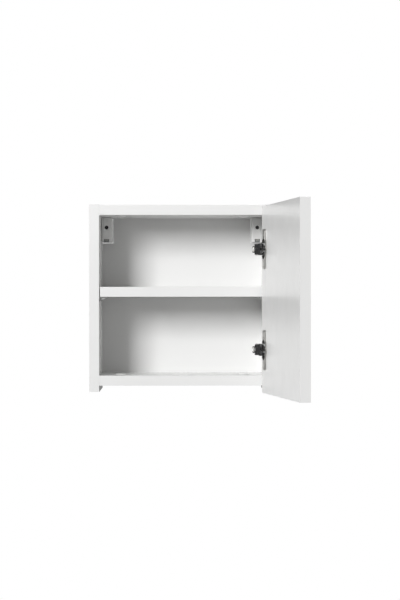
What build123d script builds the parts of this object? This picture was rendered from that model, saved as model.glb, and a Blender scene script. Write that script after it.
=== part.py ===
from build123d import *
import os
from math import atan2, cos, degrees, hypot, radians, sin

# Hanging wall cabinet: a board carcass with one shelf, one door on two concealed hinges, and two
# adjustable hangers in the upper rear corners. Millimetres, +Z up, +X to the right as seen from the
# room, +Y into the wall. The origin is on the wall plane, midway between the sides, at their lower ends.
# The door stands open, as far as its hinges let it.

# ---- driving dimensions ----
WIDTH = 298.0
HEIGHT = 300.0
DEPTH = 150.0
BOARD = 16.0
BAND = 0.8                  # edge banding
FIT = 0.05                  # radial play of a fixed round part in its bore
GAP = 0.3                   # least gap between pieces that move past each other
RECESS_SPAN = 1.1           # a screw's cross recess, as a share of its head's radius
RECESS_SLOT = 0.2           # each slot's width, as a share of the recess

TOP_DROP = 1.0              # top panel below the sides' upper ends
BOTTOM_RISE = 10.0          # bottom panel above the sides' lower ends
SHELF_UNDERSIDE = 152.0
SHELF_SIDE_GAP = 1.0
SHELF_SETBACK = 3.0

BACK_THICKNESS = 3.0
BACK_INSET = 14.0           # wall plane to the back panel's front face
GROOVE_DEPTH = 6.0
GROOVE_PLAY = 0.1

DOOR_WIDTH = 294.0
DOOR_HEIGHT = 297.0
DOOR_BOTTOM = -1.0
DOOR_GAP = 2.0              # closed door to the carcass front
OPEN_ANGLE = 98.0

HINGE_SPREAD = 80.0         # each hinge above or below the door's middle
CUP_RADIUS = 17.5
CUP_DEPTH = 12.2
CUP_WALL = 1.2
CUP_FLOOR = 1.0
CUP_EDGE_DISTANCE = 21.5    # cup centre to the door's edge
FLANGE_HEIGHT = 63.0
FLANGE_WIDTH = 17.0
FLANGE_THICKNESS = 2.2
FLANGE_EDGE_DISTANCE = 23.5
CUP_SCREW_SPREAD = 24.0

# ---- derived places ----
HALF = WIDTH / 2
INNER = HALF - BOARD                         # side panel's inner face
FRONT = -DEPTH                               # carcass front
TOP_FACE = HEIGHT - TOP_DROP
TOP_UNDERSIDE = TOP_FACE - BOARD
BOTTOM_FACE = BOTTOM_RISE + BOARD
SHELF_FACE = SHELF_UNDERSIDE + BOARD
BACK_FRONT = -BACK_INSET
BACK_REAR = BACK_FRONT + BACK_THICKNESS
DOOR_MIDDLE = DOOR_BOTTOM + DOOR_HEIGHT / 2
DOOR_EDGE = DOOR_WIDTH / 2
DOOR_INNER_FACE = FRONT - DOOR_GAP
HINGE_HEIGHTS = {"upper": DOOR_MIDDLE + HINGE_SPREAD, "lower": DOOR_MIDDLE - HINGE_SPREAD}

# Hinge plan, drawn in (u, v): u inward from the right side's inner face, v forward of the carcass front.
# The door turns about one line, the mean of the paths that its two links give it.
DOOR_AXIS_U = -8.0
DOOR_AXIS_V = 15.2
DOOR_EDGE_U = INNER - DOOR_EDGE              # the closed door's hinge edge
PIN_RADIUS = 1.2
PIN_PLAY = 0.06

# Each link's pivot in the door is (s, w): s from the door's edge, w below its inner face. Its pivot on
# the arm is on the line that halves the pivot's turn about the door axis, at the given distance.
OUTER_LINK = {"pivot": (11.0, 2.0), "reach": 28.0, "elbow": (7.5, -3.5), "width": 4.4}
INNER_LINK = {"pivot": (8.5, 4.0), "reach": 24.0, "elbow": (6.6, -2.2), "width": 3.0}
INNER_LINK_HALF = 1.8
ARM_CHEEK = (2.2, 3.6)
OUTER_LINK_PLATE = (4.0, 5.4)

parts = {}


# ---- helpers ----
def block(x0, x1, y0, y1, z0, z1):
    """A box between two corners."""
    size = (x1 - x0, y1 - y0, z1 - z0)
    return Pos((x0 + x1) / 2, (y0 + y1) / 2, (z0 + z1) / 2) * Box(*size)


def rod(radius, start, end):
    """A cylinder of the given radius from one point to another."""
    start, end = Vector(*start), Vector(*end)
    along = end - start
    plane = Plane(origin=start, z_dir=along.normalized())
    return extrude(plane * Circle(radius), amount=along.length)


def plan(u, v):
    """A hinge-plan point as (x, y)."""
    return (INNER - u, FRONT - v)


def slab(sketch, z0, z1):
    """A plan sketch raised between two heights."""
    return extrude(Pos(0, 0, z0) * sketch, amount=z1 - z0)


def strip(points, width):
    """A plan strip of one width along some points, with round ends and bends."""
    sketch = Pos(*points[0]) * Circle(width / 2)
    for a, b in zip(points, points[1:]):
        length = hypot(b[0] - a[0], b[1] - a[1])
        turn = degrees(atan2(b[1] - a[1], b[0] - a[0]))
        middle = ((a[0] + b[0]) / 2, (a[1] + b[1]) / 2)
        sketch += Pos(*middle) * Rot(0, 0, turn) * Rectangle(length, width)
        sketch += Pos(*b) * Circle(width / 2)
    return sketch


def both_ways(make, z, near, far):
    """The same plan piece above and below a height, between two distances from it."""
    return make(z + near, z + far) + make(z - far, z - near)


def solids_of(shapes):
    """Separate solids kept as one group."""
    return Compound(children=[piece for shape in shapes for piece in shape.solids()])


def from_side(side, a, y, z):
    """A point at distance a inward from a side's inner face; side is -1 for left and 1 for right."""
    return (side * (INNER - a), y, z)


def side_block(side, a0, a1, y0, y1, z0, z1):
    """A box between two distances inward from a side's inner face."""
    x0, x1 = sorted((side * (INNER - a0), side * (INNER - a1)))
    return block(x0, x1, y0, y1, z0, z1)


def soften_front(shape, radius=0.5):
    """Round the long front edges of an edge band."""
    front = shape.edges().group_by(Axis.Y)[0]
    longest = max(edge.length for edge in front)
    return fillet([edge for edge in front if edge.length > longest / 2], radius)


def cross(size, depth):
    """A cross recess, to be cut in a face at z = 0."""
    return Box(size, size * RECESS_SLOT, 2 * depth) + Box(size * RECESS_SLOT, size, 2 * depth)


def screw(head, outward, kind):
    """A countersunk cross-recess screw; head is the middle of its flat face."""
    shape = Pos(0, 0, -kind["head_depth"] / 2) * Cone(kind["shank"], kind["head"], kind["head_depth"])
    shape += Pos(0, 0, -kind["length"] / 2) * Cylinder(kind["shank"], kind["length"])
    shape -= cross(kind["head"] * RECESS_SPAN, kind["head_depth"] / 2)
    return Plane(origin=head, z_dir=outward).location * shape


def seat(head, outward, kind):
    """The countersink and clearance hole that a screw's head sits in."""
    depth, shank = kind["head_depth"], kind["shank"] + FIT
    shape = Pos(0, 0, -depth / 2) * Cone(shank, kind["head"] + FIT, depth + FIT)
    shape += Pos(0, 0, -kind["length"] / 2) * Cylinder(shank, kind["length"])
    return Plane(origin=head, z_dir=outward).location * shape


# ---- boards ----
CAM_A = 33.0                # cam centre inward from the side
CAM_Y = FRONT + 53.0
CAM_RADIUS = 7.5
CAM_BORE = 12.5
CAP_RADIUS = 8.25
CAP_THICKNESS = 1.2
CAP_PLUG_RADIUS = 2.8
CAP_PLUG = 1.5
CAP_ROUNDING = 0.7
BOLT_RADIUS = 3.0
BOLT_SHANK_RADIUS = 2.7
BOLT_NECK_RADIUS = 1.8
BOLT_NECK = 6.0
BOLT_HEAD = 3.0
BOLT_IN_SIDE = 10.0
DOWEL_RADIUS = 4.0
DOWEL_IN_SIDE = 10.0
DOWEL_IN_PANEL = 20.0
DOWEL_CHAMFER = 0.8
DOWEL_YS = (FRONT + 20.0, -36.0)
BORE_SPARE = 0.5            # a blind bore is deeper than what it holds
SHELF_BACK_GAP = 1.0
SUPPORT_YS = (FRONT + 14.0, -34.0)
SUPPORT_PIN_RADIUS = 2.5
SUPPORT_PIN_DEPTH = 9.0
SUPPORT_LENGTH = 11.5
SUPPORT_HEIGHT = 6.0
SUPPORT_WIDTH = 9.0
SUPPORT_WALL = 2.2
SUPPORT_TIP = 1.8
END_PANEL_MIDDLES = (BOTTOM_RISE + BOARD / 2, TOP_FACE - BOARD / 2)

PLATE_Y = FRONT + 37.0      # mounting plate screws behind the carcass front
PLATE_SCREW_SPREAD = 16.0
PLATE_SCREW = {"head": 3.9, "head_depth": 1.8, "shank": 1.9, "length": 14.0}
PEG_RADIUS = 5.0
PEG_DEPTH = 11.0
PEG_Y = -27.0
PEG_ZS = (252.0, 274.0)


def back_groove():
    """The space that the back panel's edges run in, all round the inside."""
    reach = INNER + GROOVE_DEPTH
    slot = (BACK_FRONT - GROOVE_PLAY, BACK_REAR + GROOVE_PLAY)
    return block(-reach, reach, *slot, BOTTOM_FACE - GROOVE_DEPTH, TOP_UNDERSIDE + GROOVE_DEPTH)


def side_bore(side, radius, depth, y, z):
    """A blind bore in a side's inner face."""
    return rod(radius + FIT, from_side(side, 0, y, z), from_side(side, -depth - BORE_SPARE, y, z))


def side_panel(side):
    panel = side_block(side, -BOARD, 0, FRONT + BAND, 0, 0, HEIGHT) - back_groove()
    for z in END_PANEL_MIDDLES:
        panel -= side_bore(side, BOLT_RADIUS, BOLT_IN_SIDE, CAM_Y, z)
        for y in DOWEL_YS:
            panel -= side_bore(side, DOWEL_RADIUS, DOWEL_IN_SIDE, y, z)
    pin_z = SHELF_UNDERSIDE - SUPPORT_HEIGHT / 2
    for y in SUPPORT_YS:
        panel -= side_bore(side, SUPPORT_PIN_RADIUS, SUPPORT_PIN_DEPTH, y, pin_z)
    for z in PEG_ZS:
        panel -= side_bore(side, PEG_RADIUS, PEG_DEPTH, PEG_Y, z)
    if side > 0:
        for middle in HINGE_HEIGHTS.values():
            for z in (middle - PLATE_SCREW_SPREAD, middle + PLATE_SCREW_SPREAD):
                panel -= side_bore(side, PLATE_SCREW["shank"], PLATE_SCREW["length"], PLATE_Y, z)
    return panel


def end_panel(underside, face_z, inward):
    """The top or bottom panel; inward is the direction from its inner face out, 1 up or -1 down."""
    middle = underside + BOARD / 2
    panel = block(-INNER, INNER, FRONT + BAND, 0, underside, underside + BOARD) - back_groove()
    for side in (-1, 1):
        cam_face = from_side(side, CAM_A, CAM_Y, face_z)
        cam_bottom = from_side(side, CAM_A, CAM_Y, face_z - inward * CAM_BORE)
        panel -= rod(CAM_RADIUS, cam_face, cam_bottom)
        cam_middle = from_side(side, CAM_A, CAM_Y, middle)
        panel -= rod(BOLT_RADIUS + BORE_SPARE, from_side(side, 0, CAM_Y, middle), cam_middle)
        for y in DOWEL_YS:
            end = from_side(side, DOWEL_IN_PANEL + BORE_SPARE, y, middle)
            panel -= rod(DOWEL_RADIUS + FIT, from_side(side, 0, y, middle), end)
    return panel


def make_boards():
    parts["left_side_panel"] = side_panel(-1)
    parts["right_side_panel"] = side_panel(1)
    parts["top_panel"] = end_panel(TOP_UNDERSIDE, TOP_UNDERSIDE, -1)
    parts["bottom_panel"] = end_panel(BOTTOM_RISE, BOTTOM_FACE, 1)
    shelf_half = INNER - SHELF_SIDE_GAP
    shelf_front = FRONT + SHELF_SETBACK
    shelf_z = (SHELF_UNDERSIDE, SHELF_FACE)
    shelf_rear = BACK_FRONT - SHELF_BACK_GAP
    parts["shelf"] = block(-shelf_half, shelf_half, shelf_front + BAND, shelf_rear, *shelf_z)
    edge = (FRONT, FRONT + BAND)
    for name, side in (("left", -1), ("right", 1)):
        band = side_block(side, -BOARD, 0, *edge, 0, HEIGHT)
        parts[f"{name}_side_edge_band"] = soften_front(band)
    ends = {"top": (TOP_UNDERSIDE, TOP_FACE), "bottom": (BOTTOM_RISE, BOTTOM_FACE)}
    for name, z_range in ends.items():
        parts[f"{name}_edge_band"] = soften_front(block(-INNER, INNER, *edge, *z_range))
    shelf_band = block(-shelf_half, shelf_half, shelf_front, shelf_front + BAND, *shelf_z)
    parts["shelf_edge_band"] = soften_front(shelf_band)


def make_back_panel():
    reach = INNER + GROOVE_DEPTH - BORE_SPARE
    bottom = BOTTOM_FACE - GROOVE_DEPTH + BORE_SPARE
    top = TOP_UNDERSIDE + GROOVE_DEPTH - BORE_SPARE
    panel = block(-reach, reach, BACK_FRONT, BACK_REAR, bottom, top)
    cut = (-GROOVE_DEPTH, HANGER_WIDTH + GAP, BACK_FRONT, BACK_REAR, HANGER_BOTTOM - GAP, top)
    for side in (-1, 1):
        panel -= side_block(side, *cut)
    parts["back_panel"] = panel


def cam_disc(side, face_z, inward):
    """A cam disc with its drive recess and the pocket that holds the bolt's head."""
    middle = face_z - inward * BOARD / 2
    top = from_side(side, CAM_A, CAM_Y, face_z - inward * FIT)
    bottom = from_side(side, CAM_A, CAM_Y, face_z - inward * (CAM_BORE - FIT))
    disc = rod(CAM_RADIUS - FIT, top, bottom)
    plug_end = from_side(side, CAM_A, CAM_Y, face_z - inward * (CAP_PLUG + BORE_SPARE))
    disc -= rod(CAP_PLUG_RADIUS + FIT, top, plug_end)
    pocket_end = from_side(side, CAM_A + BOLT_RADIUS, CAM_Y, middle)
    return disc - rod(BOLT_RADIUS + GAP, from_side(side, CAM_A - CAM_RADIUS, CAM_Y, middle), pocket_end)


def cam_bolt(side, z):
    """A connecting bolt: thread in the side, shank, neck, and a head in the cam."""
    def span(a0, a1, radius):
        return rod(radius, from_side(side, a0, CAM_Y, z), from_side(side, a1, CAM_Y, z))
    head = CAM_A - BOLT_HEAD / 2
    neck = head - BOLT_NECK
    bolt = span(-BOLT_IN_SIDE, 0, BOLT_RADIUS) + span(0, neck, BOLT_SHANK_RADIUS)
    return bolt + span(neck, head, BOLT_NECK_RADIUS) + span(head, head + BOLT_HEAD, BOLT_RADIUS)


def cam_cap(side, face_z, inward):
    """A push-in cover cap over a cam, slightly domed."""
    face = from_side(side, CAM_A, CAM_Y, face_z)
    top = from_side(side, CAM_A, CAM_Y, face_z + inward * CAP_THICKNESS)
    plug_end = from_side(side, CAM_A, CAM_Y, face_z - inward * CAP_PLUG)
    cap = rod(CAP_RADIUS, face, top)
    rim = cap.edges().group_by(Axis.Z)[-1 if inward > 0 else 0]
    return fillet(rim, CAP_ROUNDING) + rod(CAP_PLUG_RADIUS, face, plug_end)


def dowel(side, y, z):
    ends = (from_side(side, -DOWEL_IN_SIDE, y, z), from_side(side, DOWEL_IN_PANEL, y, z))
    pin = rod(DOWEL_RADIUS, *ends)
    return chamfer(pin.edges().filter_by(GeomType.CIRCLE), DOWEL_CHAMFER)


def make_joinery():
    faces = ((BOTTOM_FACE, 1), (TOP_UNDERSIDE, -1))
    corners = [(side, z, inward) for z, inward in faces for side in (-1, 1)]
    parts["cam_discs"] = solids_of([cam_disc(*corner) for corner in corners])
    parts["cam_cover_caps"] = solids_of([cam_cap(*corner) for corner in corners])
    ends = [(side, z) for z in END_PANEL_MIDDLES for side in (-1, 1)]
    parts["cam_bolts"] = solids_of([cam_bolt(*end) for end in ends])
    parts["wooden_dowels"] = solids_of([dowel(side, y, z) for side, z in ends for y in DOWEL_YS])


def shelf_support(side, y):
    """A pin with an L-shaped rest that tapers towards its tip."""
    z = SHELF_UNDERSIDE
    pin_z = z - SUPPORT_HEIGHT / 2
    pin_end = from_side(side, -SUPPORT_PIN_DEPTH, y, pin_z)
    pin = rod(SUPPORT_PIN_RADIUS, from_side(side, 0, y, pin_z), pin_end)
    outline = [(0, 0), (SUPPORT_LENGTH, 0), (SUPPORT_LENGTH, -SUPPORT_TIP)]
    outline += [(SUPPORT_WALL, -SUPPORT_HEIGHT), (0, -SUPPORT_HEIGHT)]
    points = [(side * (INNER - a), z + rise) for a, rise in outline]
    upright = Plane(origin=(0, y + SUPPORT_WIDTH / 2, 0), z_dir=(0, -1, 0), x_dir=(1, 0, 0))
    return pin + extrude(upright * make_face(Polyline(*points, close=True)), amount=SUPPORT_WIDTH)


def make_shelf_supports():
    parts["shelf_supports"] = solids_of([shelf_support(side, y) for side in (-1, 1) for y in SUPPORT_YS])


# ---- hangers ----
HANGER_WIDTH = 18.0
HANGER_HEIGHT = 41.0
HANGER_FRONT = FRONT + 100.0
HANGER_REAR = BACK_REAR
HANGER_BOTTOM = TOP_UNDERSIDE - HANGER_HEIGHT
HANGER_WALL = 1.6
HANGER_ROUNDING = 1.5
HANGER_REAR_WALL_TOP = HANGER_BOTTOM + 3.0
HANGER_SCREW_A = 8.4        # adjusting screws inward from the side
HEIGHT_SCREW_Z = TOP_UNDERSIDE - 16.4
DEPTH_SCREW_Z = TOP_UNDERSIDE - 36.4
HEIGHT_SCREW_HOLE = 3.2
POCKET_RADIUS = 4.4         # the half-round cut at the housing's lower end
POCKET_RISE = 2.0
HANGER_SCREW_HEAD = 2.8
HANGER_SCREW_SET_BACK = 0.4
HANGER_HEAD_LENGTH = 3.0
SCROLL_RADIUS = 5.5
SCROLL_THICKNESS = 2.5
CARRIAGE_FRONT = -43.0      # the sliding carriage's front flange
CARRIAGE_REAR = -18.0
CARRIAGE_SHEET = 2.0
CARRIAGE_PLAY = 0.6         # between the carriage and the housing's walls
CARRIAGE_TOP = DEPTH_SCREW_Z + 27.0
CARRIAGE_BOTTOM = DEPTH_SCREW_Z - 4.0
DEPTH_SCREW_RADIUS = 2.0
DEPTH_SCREW_SPARE = 3.0     # thread beyond the nut
NUT_YS = (-31.0, -25.0)
NUT_SIZE = 6.4
HOOK_SHEET = 2.4
HOOK_BAR_RISE = 13.0        # hook bar above the depth screw
HOOK_BAR_HEIGHT = 8.0
HOOK_TIP_Y = -1.5
HOOK_TIP_LENGTH = 3.0
HOOK_DROP = 9.0


def hanger_rod(side, radius, y0, y1, z):
    """A cylinder along Y on a hanger's screw line."""
    return rod(radius, from_side(side, HANGER_SCREW_A, y0, z), from_side(side, HANGER_SCREW_A, y1, z))


def hanger_recess(side, y, z):
    """The screwdriver cross in a hanger screw's head."""
    place = Plane(origin=from_side(side, HANGER_SCREW_A, y, z), z_dir=(0, -1, 0)).location
    return place * cross(HANGER_SCREW_HEAD * RECESS_SPAN, HANGER_HEAD_LENGTH / 2)


def hanger_housing(side):
    """The plastic housing: closed on the sides and top, open below and, above a low wall, behind."""
    wall, rear, top = HANGER_WALL, HANGER_REAR, TOP_UNDERSIDE
    shape = side_block(side, 0, HANGER_WIDTH, HANGER_FRONT, rear, HANGER_BOTTOM, top)
    front_corners = shape.edges().filter_by(Axis.Z).group_by(Axis.Y)[0]
    room_corner = front_corners.sort_by(Axis.X)[-1 if side < 0 else 0]
    shape = fillet(room_corner, HANGER_ROUNDING)
    inside = (wall, HANGER_WIDTH - wall, HANGER_FRONT + wall, rear, HANGER_BOTTOM, top - wall)
    shape -= side_block(side, *inside)
    shape += side_block(side, 0, HANGER_WIDTH, rear - wall, rear, HANGER_BOTTOM, HANGER_REAR_WALL_TOP)
    for radius, z in ((HEIGHT_SCREW_HOLE, HEIGHT_SCREW_Z), (POCKET_RADIUS, HANGER_BOTTOM + POCKET_RISE)):
        shape -= hanger_rod(side, radius, HANGER_FRONT - wall, HANGER_FRONT + wall, z)
    for z in PEG_ZS:
        shape += rod(PEG_RADIUS, from_side(side, 0, PEG_Y, z), from_side(side, -PEG_DEPTH, PEG_Y, z))
    return shape


def height_cam(side):
    """The height screw: its head in the housing's hole, and the scroll disc behind it."""
    head, disc_rear, z = HANGER_FRONT + HANGER_SCREW_SET_BACK, CARRIAGE_FRONT - GAP, HEIGHT_SCREW_Z
    shape = hanger_rod(side, HANGER_SCREW_HEAD, head, disc_rear, z)
    shape += hanger_rod(side, SCROLL_RADIUS, disc_rear - SCROLL_THICKNESS, disc_rear, z)
    return shape - hanger_recess(side, head, z)


def carriage(side):
    """The bent sheet that slides up and down in the housing and carries the hook."""
    near = HANGER_WALL + CARRIAGE_PLAY
    far = HANGER_WIDTH - near
    front, sheet, z_range = CARRIAGE_FRONT, CARRIAGE_SHEET, (CARRIAGE_BOTTOM, CARRIAGE_TOP)
    web = side_block(side, near, near + sheet, front, CARRIAGE_REAR, *z_range)
    flange = side_block(side, near, far, front, front + sheet, *z_range)
    hole = hanger_rod(side, DEPTH_SCREW_RADIUS + FIT, front - sheet, front + 2 * sheet, DEPTH_SCREW_Z)
    return web + flange - hole


def depth_screw(side):
    """The depth screw: it turns in the carriage's flange and draws the hook forward by its thread."""
    head_rear, z = CARRIAGE_FRONT - GAP, DEPTH_SCREW_Z
    head = head_rear - HANGER_HEAD_LENGTH
    shape = hanger_rod(side, HANGER_SCREW_HEAD, head, head_rear, z)
    shape += hanger_rod(side, DEPTH_SCREW_RADIUS, head_rear, NUT_YS[1] + DEPTH_SCREW_SPARE, z)
    return shape - hanger_recess(side, head, z)


def hook(side):
    """The hook: a nut block on the depth screw, and a plate that reaches behind the back panel."""
    half_sheet, half_nut = HOOK_SHEET / 2, NUT_SIZE / 2
    a, z = HANGER_SCREW_A, DEPTH_SCREW_Z
    nut = side_block(side, a - half_nut, a + half_nut, *NUT_YS, z - half_nut, z + half_nut)
    nut -= hanger_rod(side, DEPTH_SCREW_RADIUS + FIT, *NUT_YS, z)
    plate = (a - half_sheet, a + half_sheet)
    bar_bottom = z + HOOK_BAR_RISE
    bar_top = bar_bottom + HOOK_BAR_HEIGHT
    upright = side_block(side, *plate, *NUT_YS, z + half_nut, bar_top)
    bar = side_block(side, *plate, NUT_YS[1], HOOK_TIP_Y, bar_bottom, bar_top)
    tip_front = HOOK_TIP_Y - HOOK_TIP_LENGTH
    tip = side_block(side, *plate, tip_front, HOOK_TIP_Y, bar_bottom - HOOK_DROP, bar_bottom)
    return nut + upright + bar + tip


def make_hangers():
    for name, side in (("left", -1), ("right", 1)):
        parts[f"{name}_hanger_housing"] = hanger_housing(side)
        parts[f"{name}_height_screw"] = height_cam(side)
        parts[f"{name}_hanger_carriage"] = carriage(side)
        parts[f"{name}_depth_screw"] = depth_screw(side)
        parts[f"{name}_hanger_hook"] = hook(side)


# ---- hinges on the side panel ----
PLATE_THICKNESS = 2.5
PLATE_WING = 10.0
PLATE_WING_HEIGHT = 48.0
PLATE_ROUNDING = 4.0
PLATE_BLOCK = 5.6           # the raised middle that the arm clips over
PLATE_BLOCK_HALF = 6.2
PLATE_BLOCK_CHAMFER = 1.0
ARM_HALF = 8.0
ARM_SHEET = 1.4
ARM_ROUNDING = 1.2
ARM_TOP_U = 13.5
ARM_REAR_V = -62.0
ARM_SHOULDER_V = -12.0
ARM_CLEARANCE_U = 3.2
ARM_ROOT = (ARM_TOP_U - 3.5, ARM_SHOULDER_V - 6.0)    # where the neck's cheeks start
ARM_THROAT = (ARM_TOP_U + 0.5, ARM_SHOULDER_V + 8.0)  # where they turn towards the links
THROAT_WIDTH = 7.0
BRIDGE_START = 8.0          # the neck's top plate, behind the shoulder
BRIDGE_OVERRUN = 1.5
BOSS_RADIUS = 2.8
SIDE_SCREW_V = -24.0
DEPTH_CAM_V = -50.0
ARM_SCREW_HEAD = 2.7
ARM_SCREW_HEAD_LENGTH = 2.2
ARM_SCREW_SHANK = 1.6
ARM_SCREW_SET_BACK = 0.4
ARM_SCREW_HOLE = 3.0


def axis_point(angle, distance):
    """A plan point at a distance from the door axis; the angle is from +u towards +v."""
    turn = radians(angle)
    return (DOOR_AXIS_U + distance * cos(turn), DOOR_AXIS_V + distance * sin(turn))


def door_point(s, w, opened=OPEN_ANGLE):
    """A point of the door in plan, s from its hinge edge and w below its inner face."""
    du = DOOR_EDGE_U + s - DOOR_AXIS_U
    dv = DOOR_GAP + w - DOOR_AXIS_V
    return axis_point(degrees(atan2(dv, du)) + opened, hypot(du, dv))


def arm_pivot(link):
    """Where a link turns on the arm: as far from its door pivot with the door open as closed."""
    s, w = link["pivot"]
    closed = degrees(atan2(DOOR_GAP + w - DOOR_AXIS_V, DOOR_EDGE_U + s - DOOR_AXIS_U))
    return axis_point(closed + OPEN_ANGLE / 2, link["reach"])


def to_xy(points):
    return [plan(*point) for point in points]


def link_line(link):
    """A link's centre line with the door open: arm pivot, elbow, door pivot."""
    return to_xy([arm_pivot(link), door_point(*link["elbow"]), door_point(*link["pivot"])])


def pin(centre, z0, z1, radius=PIN_RADIUS):
    return slab(Pos(*centre) * Circle(radius), z0, z1)


def plate_screw_places(z):
    """The middles of the screw heads in the mounting plate at a height."""
    rises = (-PLATE_SCREW_SPREAD, PLATE_SCREW_SPREAD)
    return [from_side(1, PLATE_THICKNESS, PLATE_Y, z + rise) for rise in rises]


def mounting_plate(z):
    """The plate on the side panel: two screw wings and the raised block under the arm."""
    wing_half = PLATE_WING_HEIGHT / 2
    wing_ys = (PLATE_Y - PLATE_WING / 2, PLATE_Y + PLATE_WING / 2)
    wings = side_block(1, 0, PLATE_THICKNESS, *wing_ys, z - wing_half, z + wing_half)
    wings = fillet(wings.edges().filter_by(Axis.X), PLATE_ROUNDING)
    rear, front = FRONT - ARM_REAR_V - 2.0, FRONT - ARM_SHOULDER_V + 3.0
    rail = side_block(1, 0, PLATE_BLOCK, front, rear, z - PLATE_BLOCK_HALF, z + PLATE_BLOCK_HALF)
    plate = wings + chamfer(rail.edges().filter_by(Axis.Z), PLATE_BLOCK_CHAMFER)
    for place in plate_screw_places(z):
        plate -= seat(place, (-1, 0, 0), PLATE_SCREW)
    return plate


def plate_screws():
    places = [place for middle in HINGE_HEIGHTS.values() for place in plate_screw_places(middle)]
    return solids_of([screw(place, (-1, 0, 0), PLATE_SCREW) for place in places])


def arm_channel(z):
    """The arm's stamped channel over the mounting plate, open towards the side panel and at its ends."""
    front_y, rear_y = FRONT - ARM_SHOULDER_V, FRONT - ARM_REAR_V
    outer = side_block(1, ARM_CLEARANCE_U, ARM_TOP_U, front_y, rear_y, z - ARM_HALF, z + ARM_HALF)
    outer = fillet(outer.edges().filter_by(Axis.Y).group_by(Axis.X)[0], ARM_ROUNDING)
    inside = ARM_HALF - ARM_SHEET
    room = (0, ARM_TOP_U - ARM_SHEET, front_y - ARM_SHEET, rear_y + ARM_SHEET)
    return outer - side_block(1, *room, z - inside, z + inside)


def arm_neck(z):
    """The narrow neck in front of the channel: two cheeks with the links' pivot holes, and a bridge."""
    outer_pivot, inner_pivot = arm_pivot(OUTER_LINK), arm_pivot(INNER_LINK)
    cheek = strip(to_xy([ARM_ROOT, ARM_THROAT, inner_pivot]), THROAT_WIDTH)
    cheek += strip(to_xy([ARM_THROAT, outer_pivot, inner_pivot]), 2 * BOSS_RADIUS)
    for pivot in (outer_pivot, inner_pivot):
        cheek -= Pos(*plan(*pivot)) * Circle(PIN_RADIUS + FIT)
    neck = both_ways(lambda z0, z1: slab(cheek, z0, z1), z, *ARM_CHEEK)
    bridge_u = ARM_TOP_U - ARM_SHEET / 2
    line = [(bridge_u, ARM_SHOULDER_V - BRIDGE_START), (bridge_u, ARM_SHOULDER_V)]
    line.append((ARM_THROAT[0] + BRIDGE_OVERRUN, ARM_THROAT[1]))
    return neck + slab(strip(to_xy(line), ARM_SHEET), z - ARM_CHEEK[1], z + ARM_CHEEK[1])


def hinge_arm(z):
    """The arm: a channel over the mounting plate, and a narrow neck that carries the links' pivots."""
    arm = arm_channel(z) + arm_neck(z)
    for v in (SIDE_SCREW_V, DEPTH_CAM_V):
        inside = from_side(1, ARM_TOP_U - 2 * ARM_SHEET, FRONT - v, z)
        arm -= rod(ARM_SCREW_HOLE, inside, from_side(1, ARM_TOP_U + ARM_SHEET, FRONT - v, z))
    return arm


def arm_screw(v, z):
    """An adjusting screw in the arm: its head just under the arm's top, its end on the plate."""
    head = ARM_TOP_U - ARM_SCREW_SET_BACK
    neck = head - ARM_SCREW_HEAD_LENGTH
    ends = [from_side(1, a, FRONT - v, z) for a in (head, neck, PLATE_BLOCK)]
    shape = rod(ARM_SCREW_HEAD, ends[0], ends[1]) + rod(ARM_SCREW_SHANK, ends[1], ends[2])
    recess = cross(ARM_SCREW_HEAD * RECESS_SPAN, ARM_SCREW_HEAD_LENGTH / 2)
    return shape - Plane(origin=ends[0], z_dir=(-1, 0, 0)).location * recess


def arm_screws(v):
    return solids_of([arm_screw(v, z) for z in HINGE_HEIGHTS.values()])


def arm_pins():
    """The two pins in each arm's tip that the links turn on."""
    shapes = []
    for z in HINGE_HEIGHTS.values():
        for link, half in ((OUTER_LINK, OUTER_LINK_PLATE[1]), (INNER_LINK, ARM_CHEEK[1])):
            shapes.append(pin(plan(*arm_pivot(link)), z - half, z + half))
    return solids_of(shapes)


def make_hinge_arms():
    for name, z in HINGE_HEIGHTS.items():
        parts[f"{name}_mounting_plate"] = mounting_plate(z)
        parts[f"{name}_hinge_arm"] = hinge_arm(z)
    parts["mounting_plate_screws"] = plate_screws()
    parts["overlay_screws"] = arm_screws(SIDE_SCREW_V)
    parts["arm_depth_screws"] = arm_screws(DEPTH_CAM_V)
    parts["arm_pins"] = arm_pins()


# ---- hinge links ----
DAMPER_START = 8.0          # along the outer link from its arm pivot
DAMPER_OFFSETS = (4.2, 5.2) # shell beyond the link's line, at its start and at the elbow
DAMPER_SHEET = 1.8
DAMPER_MOUTH = (1.5, 5.4)   # the shell's end: past the elbow, and beyond the link's line
DAMPER_PRONG = (4.4, 4.8)   # the end of the two prongs that go on from it
DAMPER_RELIEF = (1.5, 4.0)  # where the inner link's bend comes with the door closed
DAMPER_RELIEF_RADIUS = 1.9
DAMPER_CHEEK = 3.8
DAMPER_CHEEK_START = 6.5
DAMPER_TAIL = 3.6           # how far the cheeks go on past the elbow
DAMPER_HALF = 8.4


def outer_link(z):
    """Two plates outside the arm's cheeks, each bent over the door's edge."""
    line = link_line(OUTER_LINK)
    plate = strip(line, OUTER_LINK["width"])
    plate -= Pos(*line[0]) * Circle(PIN_RADIUS + PIN_PLAY)
    plate -= Pos(*line[2]) * Circle(PIN_RADIUS + FIT)
    return both_ways(lambda z0, z1: slab(plate, z0, z1), z, *OUTER_LINK_PLATE)


def inner_link(z):
    """One plate between the arm's cheeks."""
    line = link_line(INNER_LINK)
    plate = strip(line, INNER_LINK["width"])
    plate -= Pos(*line[0]) * Circle(PIN_RADIUS + PIN_PLAY)
    plate -= Pos(*line[2]) * Circle(PIN_RADIUS + FIT)
    return slab(plate, z - INNER_LINK_HALF, z + INNER_LINK_HALF)


def shifted(a, b, t, offset):
    """A point at distance t from a towards b, moved sideways away from the door's edge."""
    length = hypot(b[0] - a[0], b[1] - a[1])
    du, dv = (b[0] - a[0]) / length, (b[1] - a[1]) / length
    return (a[0] + t * du + offset * dv, a[1] + t * dv - offset * du)


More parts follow.
